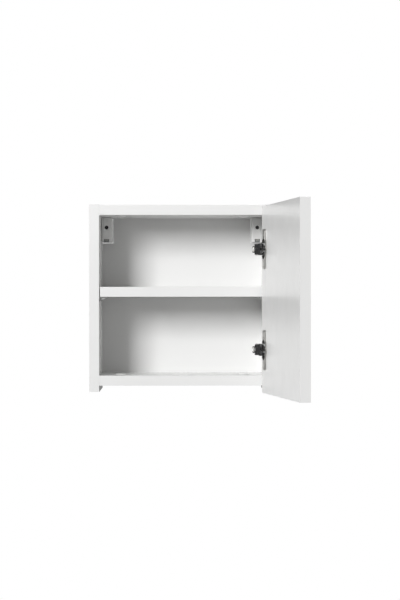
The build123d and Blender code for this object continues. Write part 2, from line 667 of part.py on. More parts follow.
def damper(z):
    """The damper's plastic body: a bent shell on the outer link's room side, and two cheeks."""
    start, elbow = arm_pivot(OUTER_LINK), door_point(*OUTER_LINK["elbow"])
    end = door_point(*OUTER_LINK["pivot"])
    length = hypot(elbow[0] - start[0], elbow[1] - start[1])
    near, far = DAMPER_OFFSETS
    face = [shifted(start, elbow, DAMPER_START, near), shifted(start, elbow, length, far)]
    face.append(shifted(elbow, end, *DAMPER_MOUTH))
    shell = slab(strip(to_xy(face), DAMPER_SHEET), z - DAMPER_HALF, z + DAMPER_HALF)
    relief = Pos(*plan(*shifted(elbow, end, *DAMPER_RELIEF))) * Circle(DAMPER_RELIEF_RADIUS)
    relief_half = INNER_LINK_HALF + GAP
    shell -= slab(relief, z - relief_half, z + relief_half)
    prong = strip(to_xy([face[-1], shifted(elbow, end, *DAMPER_PRONG)]), DAMPER_SHEET)
    shell += both_ways(lambda z0, z1: slab(prong, z0, z1), z, relief_half, DAMPER_HALF)
    half = DAMPER_CHEEK / 2
    line = [shifted(start, elbow, t, half) for t in (DAMPER_CHEEK_START, length)]
    line.append(shifted(elbow, end, DAMPER_TAIL, half))
    cheek = strip(to_xy(line), DAMPER_CHEEK)
    inside = OUTER_LINK_PLATE[1] + FIT
    return shell + both_ways(lambda z0, z1: slab(cheek, z0, z1), z, inside, DAMPER_HALF)


def make_links():
    for name, z in HINGE_HEIGHTS.items():
        parts[f"{name}_outer_link"] = outer_link(z)
        parts[f"{name}_damper"] = damper(z)
        parts[f"{name}_inner_link"] = inner_link(z)
    outer_end, inner_end = link_line(OUTER_LINK)[2], link_line(INNER_LINK)[2]
    heights = list(HINGE_HEIGHTS.values())
    near, far = OUTER_LINK_PLATE
    stubs = [both_ways(lambda z0, z1: pin(outer_end, z0, z1), z, near, far) for z in heights]
    parts["outer_link_pins"] = solids_of(stubs)
    inner_half = ARM_CHEEK[1]
    ends = [pin(inner_end, z - inner_half, z + inner_half) for z in heights]
    parts["inner_link_pins"] = solids_of(ends)


# ---- door, made closed and then opened about its axis ----
CUP_NOTCH_HALF = 10.0
CUP_NOTCH_WIDTH = 12.0
CUP_NOTCH_DEPTH = 10.4
CUP_SCREW_BORE = 12.0
CUP_SCREW = {"head": 3.5, "head_depth": 1.6, "shank": 1.7, "length": 13.7}
WING_ROUNDING = 4.0


def closed_door_point(s, w, z):
    return (*plan(*door_point(s, w, opened=0)), z)


def opened(shape):
    """A door piece turned from closed to open."""
    x, y = plan(DOOR_AXIS_U, DOOR_AXIS_V)
    return shape.rotate(Axis((x, y, 0), (0, 0, 1)), OPEN_ANGLE)


def cup_screw_places(z):
    return [closed_door_point(FLANGE_EDGE_DISTANCE, -FLANGE_THICKNESS, z + rise)
            for rise in (-CUP_SCREW_SPREAD, CUP_SCREW_SPREAD)]


def door_block(s0, s1, w0, w1, z0, z1):
    """A box in the closed door, from its hinge edge and its inner face."""
    x0, x1 = DOOR_EDGE - s1, DOOR_EDGE - s0
    return block(x0, x1, DOOR_INNER_FACE - w1, DOOR_INNER_FACE - w0, z0, z1)


def door_panel():
    top = DOOR_BOTTOM + DOOR_HEIGHT
    panel = door_block(BAND, DOOR_WIDTH - BAND, 0, BOARD, DOOR_BOTTOM + BAND, top - BAND)
    for z in HINGE_HEIGHTS.values():
        start = closed_door_point(CUP_EDGE_DISTANCE, 0, z)
        panel -= rod(CUP_RADIUS + FIT, start, closed_door_point(CUP_EDGE_DISTANCE, CUP_DEPTH, z))
        for x, _, screw_z in cup_screw_places(z):
            end = (x, DOOR_INNER_FACE - CUP_SCREW_BORE, screw_z)
            panel -= rod(CUP_SCREW["shank"] + FIT, (x, DOOR_INNER_FACE, screw_z), end)
    return opened(panel)


def door_bands():
    top = DOOR_BOTTOM + DOOR_HEIGHT
    upright = [door_block(s, s + BAND, 0, BOARD, DOOR_BOTTOM, top) for s in (0, DOOR_WIDTH - BAND)]
    level_span = (BAND, DOOR_WIDTH - BAND, 0, BOARD)
    level = [door_block(*level_span, z, z + BAND) for z in (DOOR_BOTTOM, top - BAND)]
    return solids_of([opened(band) for band in upright + level])


def hinge_cup(z):
    """The pressed cup in its bore, open towards the hinge edge, with two screw wings."""
    inner_radius = CUP_RADIUS - CUP_WALL
    middle = closed_door_point(CUP_EDGE_DISTANCE, 0, z)
    cup = rod(CUP_RADIUS, middle, closed_door_point(CUP_EDGE_DISTANCE, CUP_DEPTH, z))
    half = FLANGE_HEIGHT / 2
    s0, s1 = FLANGE_EDGE_DISTANCE - FLANGE_WIDTH / 2, FLANGE_EDGE_DISTANCE + FLANGE_WIDTH / 2
    wings = door_block(s0, s1, -FLANGE_THICKNESS, 0, z - half, z + half)
    cup += fillet(wings.edges().filter_by(Axis.Y), WING_ROUNDING)
    mouth = closed_door_point(CUP_EDGE_DISTANCE, -2 * FLANGE_THICKNESS, z)
    cup -= rod(inner_radius, mouth, closed_door_point(CUP_EDGE_DISTANCE, CUP_DEPTH - CUP_FLOOR, z))
    notch = (-FLANGE_THICKNESS, CUP_NOTCH_DEPTH, z - CUP_NOTCH_HALF, z + CUP_NOTCH_HALF)
    cup -= door_block(0, CUP_NOTCH_WIDTH, *notch)
    for place in cup_screw_places(z):
        cup -= seat(place, (0, 1, 0), CUP_SCREW)
    return opened(cup)


def cup_screws():
    places = [place for z in HINGE_HEIGHTS.values() for place in cup_screw_places(z)]
    return solids_of([opened(screw(place, (0, 1, 0), CUP_SCREW)) for place in places])


def make_door():
    parts["door_panel"] = door_panel()
    parts["door_edge_bands"] = door_bands()
    for name, z in HINGE_HEIGHTS.items():
        parts[f"{name}_hinge_cup"] = hinge_cup(z)
    parts["hinge_cup_screws"] = cup_screws()


make_boards()
make_back_panel()
make_joinery()
make_shelf_supports()
make_hangers()
make_hinge_arms()
make_links()
make_door()

os.makedirs("parts", exist_ok=True)
for node, shape in parts.items():
    export_step(shape, f"parts/{node}.step")
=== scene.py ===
from math import cos, pi, radians, sin, sqrt

import bmesh
import bpy
from mathutils import Matrix, Vector


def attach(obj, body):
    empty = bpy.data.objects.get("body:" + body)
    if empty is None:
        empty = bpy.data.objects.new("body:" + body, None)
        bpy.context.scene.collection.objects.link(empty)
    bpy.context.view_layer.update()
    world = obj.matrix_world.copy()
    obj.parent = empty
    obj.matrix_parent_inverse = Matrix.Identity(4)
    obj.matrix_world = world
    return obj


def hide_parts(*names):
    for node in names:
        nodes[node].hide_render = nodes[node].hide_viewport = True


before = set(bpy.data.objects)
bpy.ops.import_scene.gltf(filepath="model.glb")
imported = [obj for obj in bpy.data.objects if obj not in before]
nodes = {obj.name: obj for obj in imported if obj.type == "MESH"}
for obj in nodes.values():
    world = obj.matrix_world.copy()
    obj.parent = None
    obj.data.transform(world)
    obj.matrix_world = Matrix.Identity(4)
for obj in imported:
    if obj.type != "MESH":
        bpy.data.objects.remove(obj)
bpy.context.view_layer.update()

# The hanging wall cabinet, in metres: +Z up, the wall at y = 0, the room towards -Y.
MM = 0.001
SIDES = (-1, 1)         # left and right, or below and above


# ---- materials ----
class Shader:
    """A new material with a Principled shader, and short ways to add nodes to it."""

    def __init__(self, name, color, roughness, **sockets):
        self.material = bpy.data.materials.new(name)
        self.material.use_nodes = True
        self.nodes = self.material.node_tree.nodes
        self.links = self.material.node_tree.links
        self.surface = self.nodes["Principled BSDF"]
        self.surface.inputs["Base Color"].default_value = (*color, 1)
        self.surface.inputs["Roughness"].default_value = roughness
        for socket, value in sockets.items():
            self.surface.inputs[socket.replace("_", " ")].default_value = value
        coordinates = self.nodes.new("ShaderNodeTexCoord")
        self.place = coordinates.outputs["Object"]
        self.normal = coordinates.outputs["Normal"]

    def add(self, kind, inputs=None, **settings):
        node = self.nodes.new(kind)
        for key, value in settings.items():
            setattr(node, key, value)
        for key, value in (inputs or {}).items():
            if isinstance(value, bpy.types.NodeSocket):
                self.links.new(value, node.inputs[key])
            else:
                node.inputs[key].default_value = value
        return node

    def stretched(self, scale):
        """Object coordinates stretched along each axis."""
        return self.add("ShaderNodeMapping", {"Vector": self.place, "Scale": scale}).outputs["Vector"]

    def noise(self, scale, detail=3.0, place=None, distortion=0.0):
        inputs = {"Vector": place or self.place, "Scale": scale, "Detail": detail, "Distortion": distortion}
        return self.add("ShaderNodeTexNoise", inputs).outputs["Fac"]

    def cells(self, scale, place=None, output="Distance"):
        inputs = {"Vector": place or self.place, "Scale": scale}
        return self.add("ShaderNodeTexVoronoi", inputs).outputs[output]

    def spread(self, value, low, high, start=0.3, end=0.7):
        """A value from start to end spread over low to high."""
        inputs = {"Value": value, "From Min": start, "From Max": end, "To Min": low, "To Max": high}
        return self.add("ShaderNodeMapRange", inputs).outputs["Result"]

    def blend(self, factor, first, second):
        """A colour between two others."""
        node = self.add("ShaderNodeMix", data_type="RGBA")
        self.links.new(factor, node.inputs[0])
        for socket, value in ((6, first), (7, second)):
            if isinstance(value, bpy.types.NodeSocket):
                self.links.new(value, node.inputs[socket])
            else:
                node.inputs[socket].default_value = (*value, 1)
        return node.outputs[2]

    def math(self, operation, first, second=0.0):
        return self.add("ShaderNodeMath", {0: first, 1: second}, operation=operation).outputs[0]

    def color(self, value):
        self.links.new(value, self.surface.inputs["Base Color"])

    def roughness(self, value):
        self.links.new(value, self.surface.inputs["Roughness"])

    def bump(self, height, distance, strength=1.0):
        node = self.add("ShaderNodeBump", {"Height": height, "Distance": distance, "Strength": strength})
        self.links.new(node.outputs["Normal"], self.surface.inputs["Normal"])


def tinted(color, factor):
    """A colour made lighter or darker."""
    return tuple(min(1.0, channel * factor) for channel in color)


def white_board():
    """Satin white melamine, with raw chipboard on the edges that face the wall."""
    white = (0.88, 0.88, 0.875)
    shader = Shader("white_board", white, 0.3)
    cloud = shader.spread(shader.noise(9.0), 0, 1)
    melamine = shader.blend(cloud, tinted(white, 0.99), tinted(white, 1.006))
    chips = shader.cells(420.0, shader.stretched((1.0, 1.0, 1.6)), output="Color")
    chip_value = shader.add("ShaderNodeSeparateColor", {"Color": chips}).outputs[0]
    wood = shader.blend(shader.spread(chip_value, 0, 1, 0.0, 1.0), (0.30, 0.19, 0.10), (0.62, 0.47, 0.30))
    raw_dust = shader.spread(shader.noise(1500.0), 0, 0.45)
    raw = shader.blend(raw_dust, wood, (0.42, 0.30, 0.18))
    facing = shader.add("ShaderNodeSeparateXYZ", {"Vector": shader.normal}).outputs["Y"]
    is_raw = shader.math("GREATER_THAN", facing, 0.9)
    shader.color(shader.blend(is_raw, melamine, raw))
    peel = shader.noise(900.0, 2.0)
    satin = shader.spread(shader.noise(30.0), 0.22, 0.27)
    shader.roughness(shader.math("MAXIMUM", satin, shader.math("MULTIPLY", is_raw, 0.85)))
    chip_rise = shader.math("MULTIPLY", is_raw, chip_value)
    shader.bump(shader.math("ADD", chip_rise, shader.math("MULTIPLY", peel, 0.04)), 0.00012, 0.5)
    return shader.material


def edge_band():
    """Smooth white edge banding, a little uneven in gloss."""
    white = (0.835, 0.835, 0.83)
    shader = Shader("white_edge_band", white, 0.26)
    cloud = shader.spread(shader.noise(12.0), 0, 1)
    shader.color(shader.blend(cloud, tinted(white, 0.99), tinted(white, 1.006)))
    shader.roughness(shader.spread(shader.noise(40.0), 0.28, 0.34))
    shader.bump(shader.noise(700.0, 2.0), 0.00001, 0.4)
    return shader.material


def hardboard():
    """Thin hardboard: white lacquer towards the room, and natural brown with a screen pattern behind."""
    white = (0.81, 0.81, 0.805)
    shader = Shader("white_hardboard", white, 0.4)
    cloud = shader.spread(shader.noise(8.0), 0, 1)
    lacquer = shader.blend(cloud, tinted(white, 0.985), tinted(white, 1.01))
    fibre = shader.noise(320.0, 6.0, shader.stretched((1.0, 1.0, 2.2)), 0.6)
    flecks = shader.spread(shader.noise(1400.0, 2.0), 0, 1, 0.55, 0.7)
    brown = shader.blend(shader.spread(fibre, 0, 1), (0.17, 0.095, 0.05), (0.31, 0.19, 0.11))
    brown = shader.blend(flecks, brown, (0.40, 0.27, 0.17))
    facing = shader.add("ShaderNodeSeparateXYZ", {"Vector": shader.normal}).outputs["Y"]
    is_rear = shader.math("GREATER_THAN", facing, 0.5)
    shader.color(shader.blend(is_rear, lacquer, brown))
    shader.roughness(shader.math("MAXIMUM", shader.spread(shader.noise(25.0), 0.36, 0.44),
                                 shader.math("MULTIPLY", is_rear, 0.75)))
    split = shader.add("ShaderNodeSeparateXYZ", {"Vector": shader.place}).outputs
    waves = [shader.math("SINE", shader.math("MULTIPLY", split[axis], 4200.0)) for axis in ("X", "Z")]
    screen = shader.math("MULTIPLY", shader.math("MULTIPLY", waves[0], waves[1]), is_rear)
    shader.bump(shader.math("ADD", screen, shader.math("MULTIPLY", fibre, 0.3)), 0.00015, 0.35)
    return shader.material


def metal(name, color, roughness, wear=0.05):
    """Plated steel with fine scratches, soft stains and uneven gloss."""
    shader = Shader(name, color, roughness, Metallic=1.0)
    stain = shader.spread(shader.noise(140.0, 4.0), 0, 1)
    shader.color(shader.blend(stain, tinted(color, 0.9), tinted(color, 1.06)))
    scratch = shader.noise(900.0, 4.0, shader.stretched((1.0, 1.0, 12.0)))
    uneven = shader.math("ADD", shader.spread(scratch, -wear, wear), roughness)
    shader.roughness(shader.math("ADD", uneven, shader.spread(stain, 0.0, wear, 0.0, 1.0)))
    shader.bump(scratch, 0.00003, 0.5)
    return shader.material


def dark_steel():
    """Blackened pressed steel, a little browner where it is rubbed."""
    color = (0.05, 0.05, 0.052)
    shader = Shader("dark_steel", color, 0.35, Metallic=0.85)
    rub = shader.spread(shader.noise(500.0, 4.0), 0, 1, 0.5, 0.75)
    shader.color(shader.blend(rub, color, (0.16, 0.155, 0.15)))
    shader.roughness(shader.spread(shader.noise(700.0), 0.28, 0.45))
    shader.bump(shader.noise(2500.0), 0.00003, 0.5)
    return shader.material


def plastic(name, color, roughness, texture_scale, depth, variation=0.04):
    """Moulded plastic with a fine eroded texture and slight flow marks."""
    shader = Shader(name, color, roughness)
    flow = shader.spread(shader.noise(70.0, 2.0, distortion=1.2), 0, 1)
    shader.color(shader.blend(flow, tinted(color, 1 - variation), tinted(color, 1 + variation)))
    shader.roughness(shader.spread(shader.noise(260.0), roughness - 0.06, roughness + 0.06))
    shader.bump(shader.noise(texture_scale, 3.0), depth, 0.6)
    return shader.material


def cast_zinc():
    """Dull die-cast zinc with small pits."""
    color = (0.5, 0.5, 0.49)
    shader = Shader("cast_zinc", color, 0.5, Metallic=0.9)
    stain = shader.spread(shader.noise(300.0, 5.0), 0, 1)
    shader.color(shader.blend(stain, tinted(color, 0.8), tinted(color, 1.1)))
    shader.roughness(shader.spread(shader.noise(600.0), 0.42, 0.6))
    shader.bump(shader.cells(1400.0), 0.00005, 0.5)
    return shader.material


def beech():
    """Raw beech with grain along X and short darker flecks."""
    shader = Shader("beech", (0.66, 0.48, 0.31), 0.6)
    grain = shader.noise(160.0, 5.0, shader.stretched((0.12, 1.0, 1.0)), 0.4)
    flecks = shader.spread(shader.cells(1100.0, shader.stretched((0.12, 1.0, 1.0))), 1, 0, 0.05, 0.25)
    wood = shader.blend(shader.spread(grain, 0, 1), (0.55, 0.37, 0.22), (0.74, 0.56, 0.37))
    shader.color(shader.blend(shader.math("MULTIPLY", flecks, 0.5), wood, (0.36, 0.22, 0.12)))
    shader.bump(grain, 0.0001, 0.6)
    return shader.material


finishes = {
    "white_board": white_board(),
    "white_edge_band": edge_band(),
    "white_hardboard": hardboard(),
    "nickel_steel": metal("nickel_steel", (0.42, 0.415, 0.4), 0.36),
    "steel_fixings": metal("steel_fixings", (0.60, 0.60, 0.57), 0.32, wear=0.08),
    "zinc_plated_steel": metal("zinc_plated_steel", (0.42, 0.43, 0.44), 0.4, wear=0.07),
    "support_metal": metal("support_metal", (0.70, 0.70, 0.69), 0.3),
    "dark_steel": dark_steel(),
    "black_plastic": plastic("black_plastic", (0.016, 0.016, 0.017), 0.55, 1800.0, 0.00004),
    "white_plastic": plastic("white_plastic", (0.84, 0.84, 0.83), 0.34, 2200.0, 0.00002, 0.01),
    "cast_zinc": cast_zinc(),
    "beech": beech(),
}


def slot_of(node):
    """The record's slot name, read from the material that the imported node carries."""
    return nodes[node].data.materials[0].name


# ---- frame nodes: finish and softened edges ----
BEVEL_ANGLE = radians(35)       # edges sharper than this are rounded
SMOOTH_ANGLE = radians(32)      # edges flatter than this are shaded smooth
WELD_DISTANCE = 1e-6
EDGE_SOFTNESS = {"white_board": 0.4 * MM, "white_edge_band": 0.4 * MM, "white_hardboard": 0.2 * MM}
OTHER_SOFTNESS = 0.15 * MM


def soften(obj, width):
    """Round an object's sharp edges a little."""
    bevel = obj.modifiers.new("bevel", "BEVEL")
    bevel.width = width
    bevel.segments = 2
    bevel.limit_method = "ANGLE"
    bevel.angle_limit = BEVEL_ANGLE


def dress(node, softness):
    """Give a CAD node its finish, and round its sharp edges a little."""
    obj = nodes[node]
    slot = slot_of(node)
    for index in range(len(obj.material_slots)):
        obj.material_slots[index].material = finishes[slot]
    weld = obj.modifiers.new("weld", "WELD")
    weld.merge_threshold = WELD_DISTANCE
    soften(obj, softness)


for node in nodes:
    dress(node, EDGE_SOFTNESS.get(slot_of(node), OTHER_SOFTNESS))


# ---- mesh tools ----
def in_mm(pairs):
    """Pairs of millimetres, in metres."""
    return [(a * MM, b * MM) for a, b in pairs]


def loft(rings):
    """A closed mesh through rings of points that all have the same count."""
    data = bmesh.new()
    rows = [[data.verts.new(point) for point in ring] for ring in rings]
    count = len(rings[0])
    for low, high in zip(rows, rows[1:]):
        for i in range(count):
            j = (i + 1) % count
            data.faces.new((low[i], low[j], high[j], high[i]))
    data.faces.new(rows[0])
    data.faces.new(rows[-1])
    return data


def turned(profile, place, count=48, reach=None):
    """A solid of revolution about the placement's Z, through (radius, height) pairs.

    reach takes the turn, and gives the factor by which the radius changes there."""
    rings = []
    for radius, height in profile:
        ring = []
        for i in range(count):
            turn = 2 * pi * i / count
            r = radius * (reach(turn) if reach else 1)
            ring.append(place @ Vector((r * cos(turn), r * sin(turn), height)))
        rings.append(ring)
    return loft(rings)


def box(low, high, place=Matrix()):
    """A box between two corners, in a placement."""
    data = bmesh.new()
    bmesh.ops.create_cube(data, size=1)
    for vertex in data.verts:
        share = vertex.co + Vector((0.5, 0.5, 0.5))
        vertex.co = place @ Vector([a + (b - a) * t for a, b, t in zip(low, high, share)])
    return data


def outline(line, width, steps=8):
    """A plan outline round a line of points, with round ends and mitred bends."""
    points = [Vector(point) for point in line]
    ways = [(b - a).normalized() for a, b in zip(points, points[1:])]
    sides = [Vector((way.y, -way.x)) for way in ways]
    half = width / 2
    right = []
    for point, before, after in zip(points[1:-1], sides, sides[1:]):
        mitre = (before + after).normalized()
        right.append((point, mitre * (half / mitre.dot(before))))
    found = [point + reach for point, reach in right]
    for i in range(steps + 1):
        turn = pi * i / steps
        found.append(points[-1] + sides[-1] * (half * cos(turn)) + ways[-1] * (half * sin(turn)))
    found += [point - reach for point, reach in reversed(right)]
    for i in range(steps + 1):
        turn = pi * i / steps
        found.append(points[0] - sides[0] * (half * cos(turn)) - ways[0] * (half * sin(turn)))
    return found


def bar(line, width, low, high, edge):
    """A flat bar along a plan line, between two heights, with rounded edges."""
    levels = [(low, edge), (low + 0.3 * edge, 0.3 * edge), (low + edge, 0)]
    levels += [(high - edge, 0), (high - 0.3 * edge, 0.3 * edge), (high, edge)]
    return loft([[(*point, z) for point in outline(line, width - 2 * inset)] for z, inset in levels])


def gathered(meshes):
    """Several bmeshes as one."""
    whole = bmesh.new()
    for data in meshes:
        bmesh.ops.recalc_face_normals(data, faces=data.faces)
        mesh = bpy.data.meshes.new("part")
        data.to_mesh(mesh)
        data.free()
        whole.from_mesh(mesh)
        bpy.data.meshes.remove(mesh)
    return whole


def shown(name, data):
    """An object in the scene made from a bmesh."""
    bmesh.ops.recalc_face_normals(data, faces=data.faces)
    mesh = bpy.data.meshes.new(name)
    data.to_mesh(mesh)
    data.free()
    obj = bpy.data.objects.new(name, mesh)
    bpy.context.scene.collection.objects.link(obj)
    return obj


def carved(solid, *cutters):
    """A bmesh with others cut out of it."""
    body = shown("body", solid)
    tools = [shown("cutter", cutter) for cutter in cutters]
    for tool in tools:
        cut = body.modifiers.new("cut", "BOOLEAN")
        cut.object = tool
        cut.solver = "EXACT"
    graph = bpy.context.evaluated_depsgraph_get()
    result = bmesh.new()
    result.from_mesh(body.evaluated_get(graph).to_mesh())
    for obj in (body, *tools):
        mesh = obj.data
        bpy.data.objects.remove(obj)
        bpy.data.meshes.remove(mesh)
    return result


def piece(name, data, body, slot, *replaced, softness=0.0):
    """A finished piece that rides a body, and may stand for some CAD nodes."""
    obj = shown(name, data)
    obj.data.materials.append(finishes[slot])
    for polygon in obj.data.polygons:
        polygon.use_smooth = True
    obj.data.set_sharp_from_angle(angle=SMOOTH_ANGLE)
    if softness:
        soften(obj, softness)
    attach(obj, body)
    if replaced:
        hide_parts(*replaced)


def aimed(origin, direction):
    """The placement that takes +Z to a direction at an origin."""
    return Matrix.Translation(origin) @ Vector(direction).to_track_quat("Z", "Y").to_matrix().to_4x4()


# ---- hinges: dampers and links ----
HINGES = {"lower": 67.5 * MM, "upper": 227.5 * MM}
DAMPER_LINE = ((0.11632, -0.16583), (0.12075, -0.17243), (0.12380, -0.17455))
DAMPER_SHEET = 1.9 * MM
DAMPER_HALF = (7.8 * MM, 9.4 * MM)      # at the arm, and at the cup
DAMPER_GROWTH_START = 0.55              # as shares of its length
DAMPER_GROWTH_SPAN = 0.35
DAMPER_CORNER = 2.6 * MM
DAMPER_CORNER_DROP = 0.9
DAMPER_EDGE = 0.7 * MM                  # how far its level edges thin out
DAMPER_PRONG_LINE = ((0.12380, -0.17455), (0.12669, -0.17520))
DAMPER_PRONG = (2.2 * MM, 9.4 * MM)     # from the middle, on each side
DAMPER_PRONG_WIDTH = 1.8 * MM
DAMPER_CHEEK_LINE = ((0.11706, -0.16319), (0.12324, -0.17026), (0.12716, -0.17223))
DAMPER_CHEEK = (5.5 * MM, 8.4 * MM)
DAMPER_CHEEK_WIDTH = 3.8 * MM
PISTON_COVER = in_mm(((1.55, -0.5), (1.55, 0.25), (1.3, 0.45), (0.7, 0.45), (0.55, 0.2)))
DAMPER_RELIEF = (0.12438, -0.17327)     # room for the inner link's bend with the door closed
DAMPER_RELIEF_RADIUS = 2.1 * MM
DAMPER_RELIEF_HALF = 2.2 * MM
RIB_PITCH = 2.6 * MM
RIB_DEPTH = 0.35 * MM
OUTER_PLATE = (4.0 * MM, 5.4 * MM)
OUTER_WIDTH = 4.4 * MM
INNER_HALF = 1.8 * MM
INNER_WIDTH = 3.0 * MM
GROOVE_WIDTH = 1.1 * MM
GROOVE_SHARES = (0.14, 0.86)            # of the inner link's length: the groove's start and end
OUTER_LINE = ((0.11422, -0.15704), (0.12467, -0.16901), (0.13060, -0.17171))
INNER_LINE = ((0.11939, -0.15476), (0.12583, -0.16794), (0.13224, -0.16896))


def smooth(value):
    """A value held between 0 and 1, and eased at both ends."""
    value = min(1.0, max(0.0, value))
    return value * value * (3 - 2 * value)


def along(line, share):
    """The point at a share of a line's length, the unit direction there, and the distance so far."""
    points = [Vector(point) for point in line]
    lengths = [(b - a).length for a, b in zip(points, points[1:])]
    left = share * sum(lengths)
    for a, b, length in zip(points, points[1:], lengths):
        if left <= length or b == points[-1]:
            return a + (b - a) * (left / length), (b - a).normalized(), share * sum(lengths)
        left -= length


def damper_half(share, distance):
    """Half the shell's height: it grows towards the cup, and its first corners are round."""
    low, high = DAMPER_HALF
    half = low + (high - low) * smooth((share - DAMPER_GROWTH_START) / DAMPER_GROWTH_SPAN)
    missing = max(0.0, 1 - distance / DAMPER_CORNER)
    return half - DAMPER_CORNER * (1 - sqrt(1 - missing * missing)) * DAMPER_CORNER_DROP


def damper_shell(z, columns=26, rows=73):
    """The bent shell, with level ribs on its room side."""
    rings = []
    places = [(column / (columns - 1), 1) for column in range(columns)]
    places += [(share, -1) for share, _ in reversed(places)]
    for share, side in places:
        point, way, distance = along(DAMPER_LINE, share)
        out = Vector((way.y, -way.x)) * side
        half = damper_half(share, distance)
        ring = []
        for row in range(rows):
            height = half * (2 * row / (rows - 1) - 1)
            edge = min(1.0, (half - abs(height)) / DAMPER_EDGE)
            rib = RIB_DEPTH * abs(cos(pi * height / RIB_PITCH)) if side > 0 else 0
            depth = DAMPER_SHEET / 2 * (0.5 + 0.5 * edge) + (rib - RIB_DEPTH) * edge
            ring.append((*(point + out * depth), z + height))
        rings.append(ring)
    data = bmesh.new()
    grid = [[data.verts.new(point) for point in ring] for ring in rings]
    for line, after in zip(grid, grid[1:] + grid[:1]):
        for row in range(rows - 1):
            data.faces.new((line[row], after[row], after[row + 1], line[row + 1]))
    for row in (0, rows - 1):
        data.faces.new([line[row] for line in grid])
    return data


def damper(z):
    """The ribbed shell with its two cheeks, and the round end cover of the piston on each."""
    sides = [(DAMPER_RELIEF_RADIUS, side * DAMPER_RELIEF_HALF) for side in SIDES]
    relief = turned(sides, Matrix.Translation((*DAMPER_RELIEF, z)), 28)
    meshes = [carved(damper_shell(z), relief)]
    near, far = DAMPER_CHEEK
    for side in SIDES:
        low, high = sorted((z + side * near, z + side * far))
        meshes.append(bar(DAMPER_CHEEK_LINE, DAMPER_CHEEK_WIDTH, low, high, 0.5 * MM))
        low, high = sorted(z + side * reach for reach in DAMPER_PRONG)
        meshes.append(bar(DAMPER_PRONG_LINE, DAMPER_PRONG_WIDTH, low, high, 0.4 * MM))
        cover = aimed((*DAMPER_CHEEK_LINE[1], z + side * far), (0, 0, side))
        meshes.append(turned(PISTON_COVER, cover, 28))
    return gathered(meshes)


def outer_link(z):
    """Two pressed cheeks with round edges."""
    meshes = []
    for side in SIDES:
        low, high = sorted(z + side * reach for reach in OUTER_PLATE)
        meshes.append(bar(OUTER_LINE, OUTER_WIDTH, low, high, 0.35 * MM))
    return gathered(meshes)


def inner_link(z):
    """A thick pressed lever with a groove along each face."""
    lever = bar(INNER_LINE, INNER_WIDTH, z - INNER_HALF, z + INNER_HALF, 0.4 * MM)
    start, end = (tuple(along(INNER_LINE, share)[0]) for share in GROOVE_SHARES)
    grooves = [bar((start, INNER_LINE[1], end), GROOVE_WIDTH, z + a * MM, z + b * MM, 0.1 * MM)
               for a, b in ((-2.4, -1.45), (1.45, 2.4))]
    return carved(lever, *grooves)


for name, height in HINGES.items():
    piece(f"{name}_damper_body", damper(height), "outer_links", "black_plastic", f"{name}_damper")
    piece(f"{name}_outer_link_plates", outer_link(height), "outer_links", "dark_steel", f"{name}_outer_link")
    piece(f"{name}_inner_link_lever", inner_link(height), "inner_links", "dark_steel", f"{name}_inner_link")


# ---- hinges: cups on the door ----
OPEN = radians(98)
DOOR_CORNER = Vector((0.12709, -0.16110, 0))    # the inner face's hinge edge, with the door open
CUP_DISTANCE = 21.5 * MM
CUP_RADIUS = 17.5 * MM
CUP_INSIDE = 16.3 * MM
CUP_DEPTH = 12.2 * MM
CUP_COUNT = 72                          # points round the cup
WING = (15.0 * MM, 32.0 * MM)
WING_HALF = 31.5 * MM
WING_THICKNESS = 2.2 * MM
WING_ROUNDING = 4.0 * MM
LIP_HEIGHT = 1.9 * MM                   # the cup's rolled lip above the door's face
NOTCH = (12.0 * MM, 10.0 * MM, 10.4 * MM)       # from the door's edge, half height, depth
CUP_SCREW_RISE = 24.0 * MM
CUP_SCREW_SEAT = in_mm(((1.75, -1), (1.75, 0.5), (3.6, 2.2), (4.2, 3)))


def on_door(s, z):
    """The placement at a point of the open door: X from its hinge edge, Y up and Z off its inner face."""
    away = Vector((-cos(OPEN), -sin(OPEN), 0))
    normal = Vector((-sin(OPEN), cos(OPEN), 0))
    turn = Matrix((away, (0, 0, 1), normal)).transposed().to_4x4()
    return Matrix.Translation(DOOR_CORNER + away * s + Vector((0, 0, z))) @ turn


def rounded_plate(half_x, half_y, corner, levels, place, steps=6):
    """A plate with round corners, through (height, inset) levels."""
    rings = []
    for height, inset in levels:
        ring = []
        for quarter, (sx, sy) in enumerate(((1, 1), (-1, 1), (-1, -1), (1, -1))):
            middle = (sx * (half_x - corner), sy * (half_y - corner))
            for i in range(steps + 1):
                turn = (quarter + i / steps) * pi / 2
                reach = corner - inset
                x = middle[0] + reach * cos(turn)
                y = middle[1] + reach * sin(turn)
                ring.append(place @ Vector((x, y, height)))
        rings.append(ring)
    return loft(rings)


def cup_shell(z):
    """The deep-drawn cup: a rolled lip, round bottom corners, and the arm's notch."""
    base, lip = -CUP_DEPTH, LIP_HEIGHT
    profile = [(0.1 * MM, base), (CUP_RADIUS - 1.6 * MM, base), (CUP_RADIUS - 0.5 * MM, base + 0.5 * MM)]
    profile += [(CUP_RADIUS, base + 1.6 * MM), (CUP_RADIUS, -0.6 * MM), (CUP_RADIUS, lip - 0.3 * MM)]
    profile += [(CUP_RADIUS - 0.3 * MM, lip), (CUP_INSIDE + 0.25 * MM, lip), (CUP_INSIDE, lip - 0.25 * MM)]
    profile += [(CUP_INSIDE, base + 2.4 * MM), (CUP_INSIDE - 1.4 * MM, base + 1.0 * MM)]
    profile += [(9.0 * MM, base + 1.0 * MM), (8.2 * MM, base + 0.6 * MM), (0.1 * MM, base + 0.6 * MM)]
    middle = on_door(CUP_DISTANCE, z)
    shell = turned(profile, middle, CUP_COUNT)
    far, half, depth = NOTCH
    notch = box((-CUP_DISTANCE, -half, -depth), (-(CUP_DISTANCE - far), half, 3 * MM), middle)
    return carved(shell, notch)


